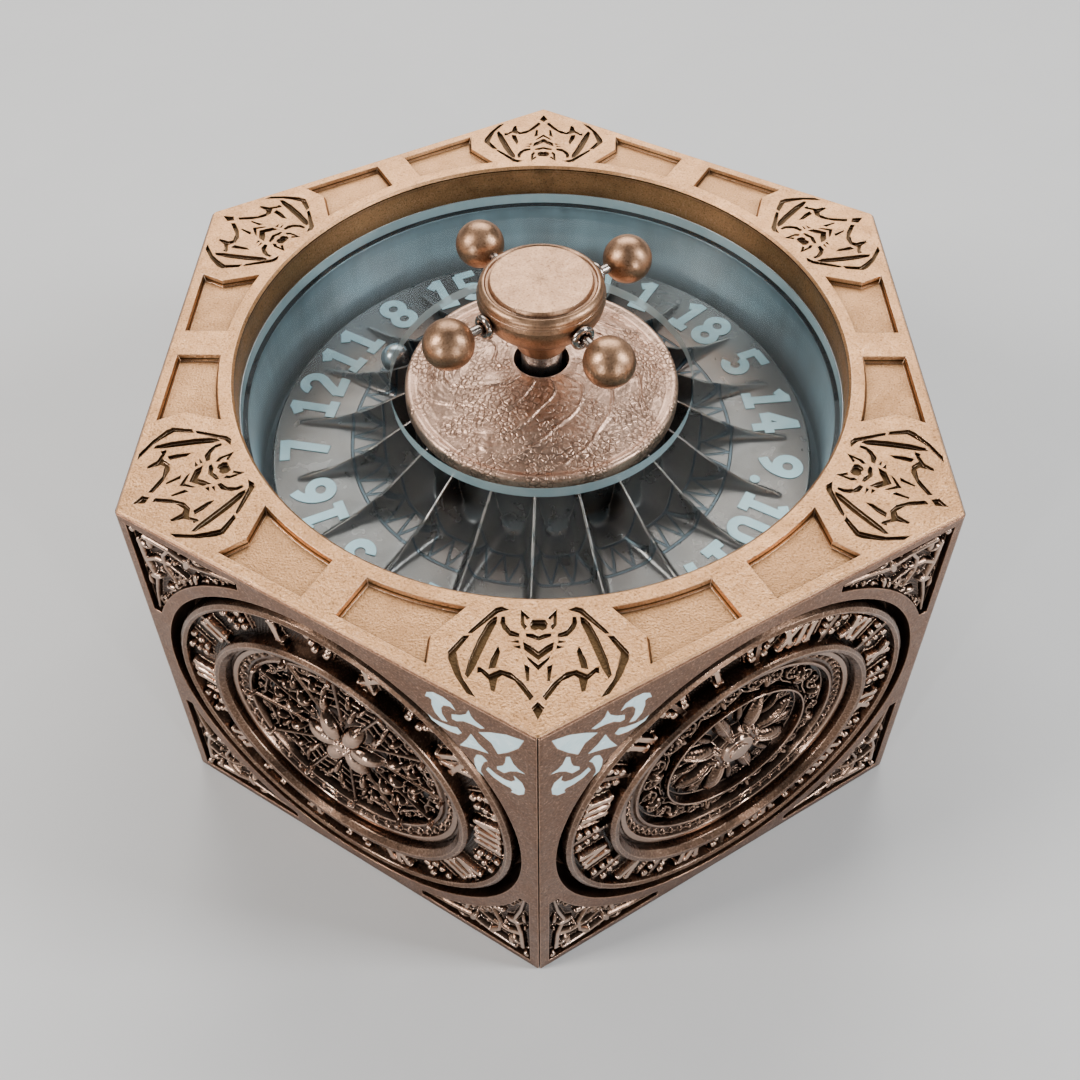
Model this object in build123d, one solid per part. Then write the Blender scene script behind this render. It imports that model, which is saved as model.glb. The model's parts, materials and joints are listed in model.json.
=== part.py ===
from build123d import *
from math import atan2, cos, degrees, hypot, radians, sin, tan
import os

# Hexagonal desk roulette: a numbered wheel in a six-sided case, with a turning dial on every side.
# Lengths are millimetres. The origin is the centre of the underside, +Z runs up the wheel's axis and
# one corner of the case points along -Y.

# Case
ACROSS_FLATS = 90.0
CASE_HEIGHT = 52.0
PANEL_THICKNESS = 5.5
PLATE_THICKNESS = 3.0
BASE_THICKNESS = 3.0
CORNER_ROUND = 0.8
EDGE_CHAMFER = 0.35
SEAM_GAP = 0.14

# Top plate
OPENING_RADIUS = 36.6
OPENING_CHAMFER = 0.3
COLLAR_RADIUS = 38.5
TRAY_DEPTH = 0.8
TRAY_INNER_RADIUS = 38.4
BAT_DEPTH = 0.5
BAT_CENTRE = 44.0
TRAY_WALL_TAPER = 22

# Side dials
RECESS_RADIUS = 23.9
RECESS_DEPTH = 4.2
DIAL_RADIUS = 22.8
DIAL_RUNNING_GAP = 0.4
BAND_INNER_RADIUS = 17.4
BAND_FLOOR = -1.7
BAR_WIDTH = 0.55
MEDALLION_RADIUS = 15.9
MEDALLION_FIELD = -1.6
MEDALLION_BACK = -2.4
PIVOT_RADIUS = 2.0
PIVOT_CLEARANCE = 0.05
PIVOT_BOSS_RADIUS = 4.5
PIVOT_BOSS_HEIGHT = 1.5
CELLS_ON_DIALS = (10, 12, 10, 12, 10, 12)
SIDE_ANGLES = (-120, -60, 0, 60, 120, 180)

# Sunk corners of the sides and the enamel of two of them
SPANDREL_EDGE = 24.7
SPANDREL_START = 9.5
SPANDREL_RADIUS = 25.4
SPANDREL_DEPTH = 0.8
INLAY_DEPTH = 0.4

# Window and bowl
WINDOW_TOP = 47.3
WINDOW_THICKNESS = 1.5
WINDOW_RADIUS = 36.45
WINDOW_HOLE_RADIUS = 18.7
GASKET_THICKNESS = 0.3
BOWL_OUTER_RADIUS = 38.4
BOWL_WALL_TOP_RADIUS = 35.9
BOWL_WALL_FOOT_RADIUS = 35.6
BOWL_FLOOR_TOP = 33.0
BOWL_FLOOR_THICKNESS = 2.4

# Rotor
WHEEL_RADIUS = 34.3
WHEEL_TOP = 36.7
WHEEL_THICKNESS = 2.4
POCKETS = 20
FIRST_FIN_ANGLE = -2.3
FIN_THICKNESS = 0.6
FIN_TOP = 43.4
FIN_REACH = 31.4
HUB_RADIUS = 16.2
HUB_BORE_RADIUS = 11.0
HUB_TOP = 44.6
NUT_ACROSS_FLATS = 8.0
ROTOR_NUT_HEIGHT = 3.5
NUMERAL_RADIUS = 30.1
NUMERAL_HEIGHT = 6.4
NUMERAL_PITCH = 4.2
NUMERAL_STROKE = 1.25
NUMERAL_PROUD = 0.12
DOME_RADIUS = 16.9
DOME_EDGE_TOP = 46.2
DOME_CROWN = 49.6
DOME_HOLE_RADIUS = 3.4
NUMBERS_BY_POCKET = (14, 5, 18, 1, 20, 2, 15, 8, 11, 12, 7, 16, 3, 19, 6, 13, 4, 17, 10, 9)

# Spindle and its bearing
SPINDLE_RADIUS = 2.5
SPINDLE_TOP = 57.5
SPINDLE_BOTTOM = 22.0
FLANGE_RADIUS = 3.8
BEARING_OUTER_RADIUS = 8.0
BEARING_WIDTH = 5.0
BEARING_TOP = 31.4
BEARING_BALL_RADIUS = 1.5
BEARING_PITCH_RADIUS = 5.25
BEARING_BALL_COUNT = 7
CAGE_THICKNESS = 0.7
CAGE_HALF_WIDTH = 2.1
CLIP_WIDTH = 1.2
RACE_CLEARANCE = 0.04
INNER_RACE_RADIUS = 3.9
OUTER_RACE_BORE = 6.35

# Turret knob
KNOB_RADIUS = 7.6
KNOB_TOP = 62.3
KNOB_FOOT = 52.2
KNOB_CAP_BOTTOM = 60.9
ARM_HEIGHT = 59.0
ARM_REACH = 12.9
ARM_BALL_RADIUS = 3.0
ARM_RADIUS = 0.6
ARM_START = 4.0
ARM_BORE_DEPTH = 0.8
KNOB_SCREW_HEIGHT = 56.9
KNOB_SCREW_RADIUS = 0.8
KNOB_SCREW_END = 5.2
FIRST_ARM_ANGLE = 36.2

# Roulette ball
ROULETTE_BALL_RADIUS = 2.0
ROULETTE_BALL_PLACE = 22.5
ROULETTE_BALL_POCKET = 8
ROULETTE_BALL_CLEARANCE = 0.15

# Fasteners
POST_RADIUS = 2.6
POST_PLACE = 41.6
STUD_RADIUS = 1.5
STUD_LENGTH = 4.4
LUG_THICKNESS = 1.7
SCREW_REACH = 8.0
HEAD_RADIUS = 3.4
HEAD_HEIGHT = 1.8

APOTHEM = ACROSS_FLATS / 2
CORNER_RADIUS = APOTHEM / cos(radians(30))
SIDE_LENGTH = CORNER_RADIUS
INNER_APOTHEM = APOTHEM - PANEL_THICKNESS
PLATE_BOTTOM = CASE_HEIGHT - PLATE_THICKNESS
WINDOW_BOTTOM = WINDOW_TOP - WINDOW_THICKNESS
POST_TOP = WINDOW_TOP - LUG_THICKNESS
DIAL_BACK = -RECESS_DEPTH + DIAL_RUNNING_GAP
BEARING_MIDDLE = BEARING_TOP - BEARING_WIDTH / 2
WHEEL_BOTTOM = WHEEL_TOP - WHEEL_THICKNESS
POCKET_PITCH = 360 / POCKETS
CORNER_ANGLES = [30 + 60 * n for n in range(6)]


def polar(radius, angle, height=0.0):
    return (radius * cos(radians(angle)), radius * sin(radians(angle)), height)


def cylinder(radius, bottom, top):
    return extrude(Plane.XY.offset(bottom) * Circle(radius), top - bottom)


def tube(outer, inner, bottom, top):
    return extrude(Plane.XY.offset(bottom) * (Circle(outer) - Circle(inner)), top - bottom)


def hexagon(apothem):
    return RegularPolygon(apothem, 6, major_radius=False, rotation=30)


def turned(profile_points):
    """The solid of revolution of a closed outline of (radius, height) points."""
    outline = make_face(Plane.XZ * Polyline(*profile_points, close=True))
    return revolve(outline, Axis.Z)


def mirrored_pair(shape):
    return [shape, mirror(shape, Plane.YZ)]


def side_plane(angle):
    """The outer face of one side, x along the side to the right, y up, z outwards."""
    centre = polar(APOTHEM, angle, CASE_HEIGHT / 2)
    return Plane(origin=centre, x_dir=(-sin(radians(angle)), cos(radians(angle)), 0), z_dir=polar(1, angle))


def case_envelope():
    """The hexagonal block that gives every case part its rounded corners and chamfered rims."""
    block = extrude(hexagon(APOTHEM), CASE_HEIGHT)
    block = fillet(block.edges().filter_by(Axis.Z), CORNER_ROUND)
    block = chamfer(block.faces().sort_by(Axis.Z)[-1].edges(), EDGE_CHAMFER)
    return chamfer(block.faces().sort_by(Axis.Z)[0].edges(), EDGE_CHAMFER)


# Engraved bat, drawn for the corner at the top of the page (+Y), tail towards the corner

BAT_HALF = (
    # upper edge of the wing, with the claw at its bend
    [(6.86, -3.2), (6.63, -3.6), (4.3, -6.1), (3.65, -6.3), (2.85, -5.9), (3.5, -5.7), (3.95, -5.55),
     (6.45, -3.2)],
    # outer edge of the wing
    [(7.3, -2.95), (6.65, -2.95), (7.85, -1.1), (7.55, 0.3), (7.15, 1.6), (5.8, 3.7), (6.65, 3.3), (7.85, 1.4),
     (8.6, -0.4), (8.65, -1.2)],
    # long bone inside the wing
    [(4.05, -5.15), (4.5, -5.0), (5.0, -4.4), (5.8, -2.65), (6.6, -0.3), (6.9, 1.3), (6.6, 1.7), (6.05, 0.7),
     (5.4, -1.05), (4.75, -2.8), (4.1, -4.4)],
    # short bone inside the wing
    [(3.87, -1.83), (3.66, -1.13), (4.05, 0.6), (4.7, 0.7), (4.53, -0.3)],
    # scalloped rear edge
    [(5.75, 0.5), (5.4, 0.55), (4.6, 1.25), (3.6, 0.78), (2.55, 1.08), (1.4, 2.15), (0.4, 3.6), (0.75, 4.05),
     (1.05, 3.6), (2.2, 2.0), (3.37, 1.4), (3.8, 1.7), (4.05, 3.15), (4.4, 3.0), (4.65, 1.86), (5.4, 1.08),
     (5.75, 1.15)],
    # shoulder
    [(3.3, -5.1), (3.25, -4.4), (2.75, -3.6), (1.85, -3.2), (1.85, -2.75), (2.8, -2.9), (3.5, -3.7),
     (3.75, -4.4), (3.65, -5.1)],
    # ear
    [(1.75, -5.95), (0.85, -4.95), (1.15, -4.75), (1.45, -5.2), (1.4, -4.4), (1.12, -4.0), (1.35, -3.6),
     (1.75, -4.2)],
    # whiskers
    [(2.75, -2.25), (1.9, -2.45), (1.9, -2.1)],
    [(2.45, -1.7), (1.75, -1.9), (1.7, -1.45)],
    # leg
    [(1.35, 0.2), (0.85, 0.45), (0.85, 2.0), (1.1, 2.0)],
)
BAT_MIDDLE = (
    # face
    [(-0.65, -4.75), (0.65, -4.75), (0.88, -4.3), (0.75, -3.75), (0.35, -3.5), (0, -3.7), (-0.35, -3.5),
     (-0.75, -3.75), (-0.88, -4.3)],
    # three chevrons down the breast
    [(-1.25, -3.2), (-0.5, -3.15), (0, -2.9), (0.5, -3.15), (1.25, -3.2), (1.2, -2.85), (0, -2.4),
     (-1.2, -2.85)],
    [(-1.5, -2.3), (-0.6, -1.75), (0, -1.2), (0.6, -1.75), (1.5, -2.3), (1.35, -1.35), (0, -0.25),
     (-1.35, -1.35)],
    [(-1.15, -0.75), (0, 0.25), (1.15, -0.75), (1.0, -0.3), (0, 0.85), (-1.0, -0.3)],
    # tail
    [(0, 4.1), (0.6, 4.75), (0, 6.0), (-0.6, 4.75)],
)


def bat_engraving():
    strokes = []
    for points in BAT_HALF:
        strokes += mirrored_pair(make_face(Polyline(*points, close=True)))
    for points in BAT_MIDDLE:
        strokes.append(make_face(Polyline(*points, close=True)))
    cuts = [extrude(Pos(0, BAT_CENTRE, CASE_HEIGHT) * stroke, -BAT_DEPTH) for stroke in strokes]
    return Part() + cuts


def sunk_tray():
    """One sunk panel of the top plate, on the +X side, to the left of the radial bar."""
    outer_edge = APOTHEM - 1.45
    kink_radius = APOTHEM - 4.25
    inner_edge = TRAY_INNER_RADIUS * cos(radians(20))
    corners = [(inner_edge - 4, 2.15), (outer_edge, 2.1), (outer_edge, 12.9), (kink_radius, 11.5),
               (inner_edge, 12.75), (inner_edge - 4, 12.75)]
    outline = make_face(Polyline(*corners, close=True)) - Circle(TRAY_INNER_RADIUS)
    return extrude(Pos(0, 0, CASE_HEIGHT) * outline, -TRAY_DEPTH, taper=TRAY_WALL_TAPER)


def top_plate():
    slab = loft([Pos(0, 0, CASE_HEIGHT) * hexagon(APOTHEM),
                 Pos(0, 0, PLATE_BOTTOM) * hexagon(APOTHEM - PLATE_THICKNESS)])
    plate = slab & case_envelope()
    boss = cylinder(POST_RADIUS, WINDOW_TOP, PLATE_BOTTOM)
    bosses = [Pos(*polar(POST_PLACE, angle)) * boss for angle in CORNER_ANGLES]
    plate += [tube(COLLAR_RADIUS, OPENING_RADIUS, WINDOW_TOP, PLATE_BOTTOM)] + bosses
    plate -= cylinder(OPENING_RADIUS, WINDOW_TOP, CASE_HEIGHT)
    beyond = OPENING_CHAMFER + 1
    plate -= turned([(OPENING_RADIUS - 1, CASE_HEIGHT + 1), (OPENING_RADIUS - 1, CASE_HEIGHT - beyond),
                     (OPENING_RADIUS + beyond, CASE_HEIGHT + 1)])
    tray = sunk_tray()
    trays = [tray, mirror(tray, Plane.XZ)]
    bat = bat_engraving()
    cuts = [Rot(0, 0, 60 * n) * one_tray for n in range(6) for one_tray in trays]
    cuts += [Rot(0, 0, 60 * n) * bat for n in range(6)]
    stud_hole = cylinder(STUD_RADIUS, WINDOW_TOP, POST_TOP + STUD_LENGTH + 0.3)
    cuts += [Pos(*polar(POST_PLACE, angle)) * stud_hole for angle in CORNER_ANGLES]
    return plate - cuts


# Sides

def spandrel(right, upper):
    """The sunk corner beside the round recess, between two straight edges and an arc."""
    middle = (SPANDREL_START + SPANDREL_EDGE) / 2
    size = SPANDREL_EDGE - SPANDREL_START
    field = Pos(right * middle, upper * middle) * Rectangle(size, size) - Circle(SPANDREL_RADIUS)
    return extrude(field, -SPANDREL_DEPTH)


# Enamel motif for an upper right corner, from the middle of the side: shapes on one side of the diagonal
INLAY_HALF = (
    # crescent
    [(13.5, 22.9), (13.75, 23.8), (14.5, 24.4), (15.6, 24.5), (16.5, 24.2), (17.0, 23.3), (16.3, 23.45),
     (15.6, 23.0), (15.3, 22.3), (15.35, 21.3), (15.9, 20.35), (15.2, 20.1), (14.5, 20.9), (14.2, 22.0),
     (14.25, 22.9), (13.9, 23.1)],
    # foot below the crescent
    [(13.6, 19.8), (14.2, 19.45), (15.2, 19.55), (16.4, 19.9), (17.0, 20.3), (17.5, 19.7), (17.1, 19.1),
     (16.0, 18.75), (14.9, 18.8), (14.0, 19.1)],
    # dart
    [(18.5, 24.6), (18.75, 23.8), (19.2, 23.3), (20.2, 22.9), (19.8, 22.5), (18.6, 22.35), (17.8, 22.1),
     (17.0, 21.4), (16.5, 21.4), (16.5, 22.2), (17.5, 22.9), (18.2, 23.7)],
)
# Enamel shapes on the diagonal
INLAY_MIDDLE = (
    [(24.5, 24.5), (22.6, 23.9), (20.8, 22.7), (19.5, 21.6), (20.9, 20.9), (21.6, 19.5), (22.7, 20.8),
     (23.9, 22.6)],
    [(17.15, 17.15), (18.0, 18.9), (18.6, 20.5), (19.4, 19.4), (20.5, 18.6), (18.9, 18.0)],
)


def inlay_shapes():
    halves = list(INLAY_HALF) + [[(y, x) for x, y in reversed(points)] for points in INLAY_HALF]
    return [make_face(Polyline(*points, close=True)) for points in halves + list(INLAY_MIDDLE)]


def corner_inlay(side):
    """Enamel of one front side, next to the front edge: side 1 has it at its right, side 2 at its left."""
    shapes = inlay_shapes()
    if side == 2:
        shapes = [mirror(shape, Plane.YZ) for shape in shapes]
    solids = [extrude(shape, -INLAY_DEPTH, dir=(0, 0, 1)) for shape in shapes]
    return [side_plane(SIDE_ANGLES[side - 1]) * solid for solid in solids]


def panel_blank():
    """A mitred side, drawn on the +X side of the case with its outer face at the apothem."""
    bevel_foot = APOTHEM - PLATE_THICKNESS
    profile = Plane.XZ * Polyline(
        (APOTHEM, 0), (APOTHEM, CASE_HEIGHT), (bevel_foot, PLATE_BOTTOM), (INNER_APOTHEM, PLATE_BOTTOM),
        (INNER_APOTHEM, 0), close=True)
    slab = extrude(make_face(profile), SIDE_LENGTH, both=True)
    reach = APOTHEM + 5
    half_width = reach * tan(radians(30))
    wedge = make_face(Polyline((0, 0), (reach, -half_width), (reach, half_width), close=True))
    mitre_shift = SEAM_GAP / 2 / sin(radians(30))
    return slab & Pos(mitre_shift, 0, 0) * extrude(wedge, CASE_HEIGHT)


def side_panel(side, blank, envelope):
    angle = SIDE_ANGLES[side - 1]
    panel = Rot(0, 0, angle) * blank & envelope
    inlay_corner = {1: (1, 1), 2: (-1, 1)}.get(side)
    face = side_plane(angle)
    boss_end = PANEL_THICKNESS + PIVOT_BOSS_HEIGHT
    panel += face * Pos(0, 0, -boss_end) * extrude(Circle(PIVOT_BOSS_RADIUS), PIVOT_BOSS_HEIGHT)
    cuts = [face * extrude(Circle(RECESS_RADIUS), -RECESS_DEPTH)]
    cuts.append(face * extrude(Circle(PIVOT_RADIUS + PIVOT_CLEARANCE), -boss_end))
    for right in (-1, 1):
        for upper in (-1, 1):
            if (right, upper) != inlay_corner:
                cuts.append(face * spandrel(right, upper))
    if inlay_corner:
        cuts += corner_inlay(side)
    return panel - cuts


def base_plate():
    plate = extrude(hexagon(INNER_APOTHEM - 0.05), BASE_THICKNESS)
    hole = turned([(0, -1), (3.6, -1), (3.6, 0), (STUD_RADIUS + 0.1, 2.0), (STUD_RADIUS + 0.1, 4), (0, 4)])
    return plate - [Pos(*polar(POST_PLACE, angle)) * hole for angle in CORNER_ANGLES]


def corner_posts():
    post = cylinder(POST_RADIUS, BASE_THICKNESS, POST_TOP)
    post += cylinder(STUD_RADIUS, POST_TOP, POST_TOP + STUD_LENGTH)
    post -= cylinder(STUD_RADIUS, BASE_THICKNESS, BASE_THICKNESS + SCREW_REACH + 1)
    return [Pos(*polar(POST_PLACE, angle)) * post for angle in CORNER_ANGLES]


def base_screws():
    tip = BASE_THICKNESS + SCREW_REACH
    screw = turned([(0, 0.15), (HEAD_RADIUS, 0.15), (STUD_RADIUS, 2.0), (STUD_RADIUS, tip), (0, tip)])
    socket = extrude(Pos(0, 0, 0.15) * RegularPolygon(1.0, 6), 1.2)
    return [Pos(*polar(POST_PLACE, angle)) * (screw - socket) for angle in CORNER_ANGLES]


# Dials

def dial_ring(side):
    """Turning dial, drawn on its own plane with z outwards and the case's face at z = 0."""
    rim = DIAL_RADIUS
    lip = BAND_INNER_RADIUS
    seat = MEDALLION_RADIUS + 0.05
    thread = PIVOT_RADIUS - 0.5
    ring = turned([
        (thread, DIAL_BACK), (rim - 0.3, DIAL_BACK), (rim, DIAL_BACK + 0.3), (rim, -0.7),
        (rim - 0.25, -0.15), (rim - 0.7, 0.1), (rim - 1.1, -0.1), (rim - 1.35, BAND_FLOOR),
        (lip, BAND_FLOOR), (lip - 0.1, 0.2), (lip - 0.45, 0.55), (lip - 0.9, 0.5),
        (seat, -0.1), (seat, MEDALLION_BACK), (thread, MEDALLION_BACK)])
    cells = CELLS_ON_DIALS[side - 1]
    bar_start = lip - 0.1
    bar_end = rim - 1.2
    bar = Pos((bar_start + bar_end) / 2, 0, BAND_FLOOR + BAR_WIDTH) * Box(bar_end - bar_start, BAR_WIDTH, 1.3)
    return ring + [Rot(0, 0, 360 / cells * n) * bar for n in range(cells)]


def dial_medallion():
    """Shallow dish with a low boss, pressed into the ring."""
    rim = MEDALLION_RADIUS
    foot = MEDALLION_BACK + 0.05
    return turned([
        (0, foot), (rim, foot), (rim, -0.7), (rim - 0.5, -0.7), (rim - 0.9, MEDALLION_FIELD),
        (5.2, MEDALLION_FIELD), (4.6, -1.0), (3.6, -0.5), (1.8, -0.15), (0, 0)])


def dial_screw():
    """Shoulder screw from inside the case: head, shoulder in the panel's boss, thread in the dial."""
    head_top = -PANEL_THICKNESS - PIVOT_BOSS_HEIGHT - 0.1
    head_bottom = head_top - HEAD_HEIGHT
    thread = PIVOT_RADIUS - 0.5
    screw = turned([
        (0, head_bottom), (HEAD_RADIUS, head_bottom), (HEAD_RADIUS, head_top), (PIVOT_RADIUS, head_top),
        (PIVOT_RADIUS, DIAL_BACK), (thread, DIAL_BACK), (thread, MEDALLION_BACK), (0, MEDALLION_BACK)])
    return screw - extrude(Pos(0, 0, head_bottom) * RegularPolygon(1.2, 6), 1.0)


def dial_washer():
    """Washer lying on the recess floor round the shoulder."""
    washer = Circle(4.2) - Circle(PIVOT_RADIUS + 0.15)
    return extrude(Pos(0, 0, -RECESS_DEPTH) * washer, DIAL_RUNNING_GAP - 0.1)


# Bowl, window and bearing

def track_bowl():
    floor = BOWL_FLOOR_TOP
    underside = floor - BOWL_FLOOR_THICKNESS
    ledge = WINDOW_BOTTOM - GASKET_THICKNESS
    window_seat = WINDOW_RADIUS + 0.05
    seat_bottom = BEARING_TOP - BEARING_WIDTH
    cup_bottom = seat_bottom - 1.5
    shoulder = BEARING_OUTER_RADIUS - CLIP_WIDTH
    bowl = turned([
        (BEARING_OUTER_RADIUS, floor), (BOWL_WALL_FOOT_RADIUS - 1.2, floor), (BOWL_WALL_FOOT_RADIUS, floor + 1.2),
        (BOWL_WALL_TOP_RADIUS, ledge), (window_seat, ledge), (window_seat, WINDOW_TOP),
        (BOWL_OUTER_RADIUS, WINDOW_TOP), (BOWL_OUTER_RADIUS, underside), (12.5, underside), (11.5, cup_bottom),
        (shoulder, cup_bottom), (shoulder, seat_bottom), (BEARING_OUTER_RADIUS, seat_bottom)])
    lug_start = BOWL_OUTER_RADIUS - 1.5
    lug_length = POST_PLACE - lug_start
    lug_face = Pos(lug_start + lug_length / 2, 0, POST_TOP) * Rectangle(lug_length, 2 * POST_RADIUS)
    lug = extrude(lug_face, LUG_THICKNESS) + Pos(POST_PLACE, 0, 0) * cylinder(POST_RADIUS, POST_TOP, WINDOW_TOP)
    lugs = [Rot(0, 0, angle) * lug for angle in CORNER_ANGLES]
    stud_hole = cylinder(STUD_RADIUS, POST_TOP, WINDOW_TOP)
    return (bowl + lugs) - [Pos(*polar(POST_PLACE, angle)) * stud_hole for angle in CORNER_ANGLES]


def bearing_race(inner, outer):
    groove = Pos(0, 0, BEARING_MIDDLE) * Torus(BEARING_PITCH_RADIUS, BEARING_BALL_RADIUS + RACE_CLEARANCE)
    return tube(outer, inner, BEARING_TOP - BEARING_WIDTH, BEARING_TOP) - groove


def bearing_balls():
    step = 360 / BEARING_BALL_COUNT
    return [Pos(*polar(BEARING_PITCH_RADIUS, step * n, BEARING_MIDDLE)) * Sphere(BEARING_BALL_RADIUS)
            for n in range(BEARING_BALL_COUNT)]


def bearing_cage():
    band = tube(BEARING_PITCH_RADIUS + CAGE_THICKNESS / 2, BEARING_PITCH_RADIUS - CAGE_THICKNESS / 2,
                -CAGE_HALF_WIDTH, CAGE_HALF_WIDTH)
    step = 360 / BEARING_BALL_COUNT
    pocket = Rot(0, 90, 0) * cylinder(BEARING_BALL_RADIUS + 0.06, 0, BEARING_PITCH_RADIUS + 1)
    pockets = [Rot(0, 0, step * n) * pocket for n in range(BEARING_BALL_COUNT)]
    return Pos(0, 0, BEARING_MIDDLE) * (band - pockets)


# Rotor

def bar(x1, y1, x2, y2):
    """A straight stroke between two points."""
    length = hypot(x2 - x1, y2 - y1)
    turn = degrees(atan2(y2 - y1, x2 - x1))
    return Pos((x1 + x2) / 2, (y1 + y2) / 2) * Rot(0, 0, turn) * Rectangle(length, NUMERAL_STROKE)


def bow(x, y, radius, start, end):
    """A round stroke about a point, from one angle to another."""
    ring = Circle(radius + NUMERAL_STROKE / 2) - Circle(radius - NUMERAL_STROKE / 2)
    if end - start < 360:
        reach = 4 * radius
        middle = (start + end) / 2
        corners = [polar(reach, angle)[:2] for angle in (start, middle - 30, middle, middle + 30, end)]
        ring &= make_face(Polyline((0, 0), *corners, close=True))
    return Pos(x, y) * ring


def digit(character):
    """Strokes of one digit about the origin; its bowls are circles a quarter of its height in radius."""
    r = (NUMERAL_HEIGHT - NUMERAL_STROKE) / 4
    h = 2 * r
    if character == "9":
        return [Rot(0, 0, 180) * stroke for stroke in digit("6")]
    outer_slot = SlotOverall(NUMERAL_HEIGHT, 2 * r + NUMERAL_STROKE, rotation=90)
    inner_slot = SlotOverall(NUMERAL_HEIGHT - 2 * NUMERAL_STROKE, 2 * r - NUMERAL_STROKE, rotation=90)
    strokes = {
        "0": [outer_slot - inner_slot],
        "1": [bar(0.1, -h - 0.5, 0.1, h + 0.5), bar(0.1, h, -r, h - 1.0), bar(-r, -h, r + 0.2, -h)],
        "2": [bow(0, r, r, -35, 170), bar(r * 0.85, r * 0.4, -r, -h + 0.3), bar(-r - 0.3, -h, r + 0.4, -h)],
        "3": [bow(0, r, r, -90, 150), bow(0, -r, r, -150, 90)],
        "4": [bar(r * 0.5, -h - 0.5, r * 0.5, h + 0.5), bar(r * 0.4, h, -r, -r * 0.6),
              bar(-r - 0.4, -r * 0.8, r + 0.5, -r * 0.8)],
        "5": [bar(-r * 0.9, h, r + 0.3, h), bar(-r * 0.8, h + 0.3, -r * 0.8, 0), bow(0, -r, r, -150, 120)],
        "6": [bow(0, -r, r, 0, 360), bow(r * 1.6, -r, r * 2.6, 110, 180)],
        "7": [bar(-r - 0.3, h, r + 0.5, h), bar(r, h, -r * 0.3, -h - 0.4)],
        "8": [bow(0, r, r, 0, 360), bow(0, -r, r, 0, 360)],
    }
    return strokes[character]


def numeral(number):
    """Sketch of one number, digits side by side, with a dot after 6 and 9."""
    characters = str(number)
    strokes = []
    for place, character in enumerate(characters):
        shift = (place - (len(characters) - 1) / 2) * NUMERAL_PITCH
        strokes += [Pos(shift, 0) * stroke for stroke in digit(character)]
    if number in (6, 9):
        foot = (NUMERAL_STROKE - NUMERAL_HEIGHT) / 2
        strokes.append(Pos(NUMERAL_PITCH * 0.68, foot) * Circle(NUMERAL_STROKE / 2))
    return Sketch() + strokes


def wheel_numerals():
    solids = []
    for pocket, number in enumerate(NUMBERS_BY_POCKET):
        angle = FIRST_FIN_ANGLE + POCKET_PITCH * (pocket + 0.5)
        place = Pos(0, 0, WHEEL_TOP) * Rot(0, 0, angle - 90) * Pos(0, NUMERAL_RADIUS, 0)
        solids += [place * extrude(face, NUMERAL_PROUD) for face in numeral(number).faces()]
    return solids


def wheel_disc():
    disc = tube(WHEEL_RADIUS, SPINDLE_RADIUS, WHEEL_BOTTOM, WHEEL_TOP)
    rim = disc.edges().filter_by(GeomType.CIRCLE).group_by(Axis.Z)[-1].sort_by(SortBy.RADIUS)[-1]
    return chamfer(rim, 0.3)


def pocket_crown():
    hub = tube(HUB_RADIUS, HUB_BORE_RADIUS, WHEEL_TOP, HUB_TOP)
    root = HUB_RADIUS - 0.5
    crest = Spline((root, FIN_TOP), (17.7, 42.4), (21.8, 39.7), (26.5, 37.6), (FIN_REACH, WHEEL_TOP))
    foot = Polyline((FIN_REACH, WHEEL_TOP), (root, WHEEL_TOP), (root, FIN_TOP))
    fin = extrude(make_face([Plane.XZ * crest, Plane.XZ * foot]), FIN_THICKNESS / 2, both=True)
    return hub + [Rot(0, 0, FIRST_FIN_ANGLE + POCKET_PITCH * n) * fin for n in range(POCKETS)]


def centre_dome():
    """Cap over the hub: a plug in the hub's bore, a straight edge and a crown that falls outwards."""
    plug = HUB_BORE_RADIUS - 0.4
    plug_foot = HUB_TOP - 1.5
    rim = DOME_RADIUS
    inside_top = (DOME_HOLE_RADIUS, DOME_CROWN - 2.2)
    rim_start = (rim - 1.5, DOME_EDGE_TOP)
    outline = [
        Polyline((DOME_HOLE_RADIUS, DOME_CROWN), inside_top, (plug, HUB_TOP + 0.2), (plug, plug_foot),
                 (HUB_BORE_RADIUS, plug_foot), (HUB_BORE_RADIUS, HUB_TOP), (rim, HUB_TOP),
                 (rim, DOME_EDGE_TOP - 0.5), (rim - 0.5, DOME_EDGE_TOP), rim_start),
        ThreePointArc(rim_start, (9.4, DOME_CROWN - 1.15), (DOME_HOLE_RADIUS, DOME_CROWN)),
    ]
    return revolve(make_face([Plane.XZ * line for line in outline]), Axis.Z)


def spindle():
    shaft = cylinder(SPINDLE_RADIUS, SPINDLE_BOTTOM, SPINDLE_TOP)
    shaft += cylinder(FLANGE_RADIUS, BEARING_TOP, WHEEL_BOTTOM)
    return chamfer(shaft.edges().filter_by(GeomType.CIRCLE).group_by(Axis.Z)[0], 0.3)


def nut(across_flats, bottom, top):
    outline = RegularPolygon(across_flats / 2, 6, major_radius=False) - Circle(SPINDLE_RADIUS)
    return extrude(Pos(0, 0, bottom) * outline, top - bottom)


# Turret knob

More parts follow.
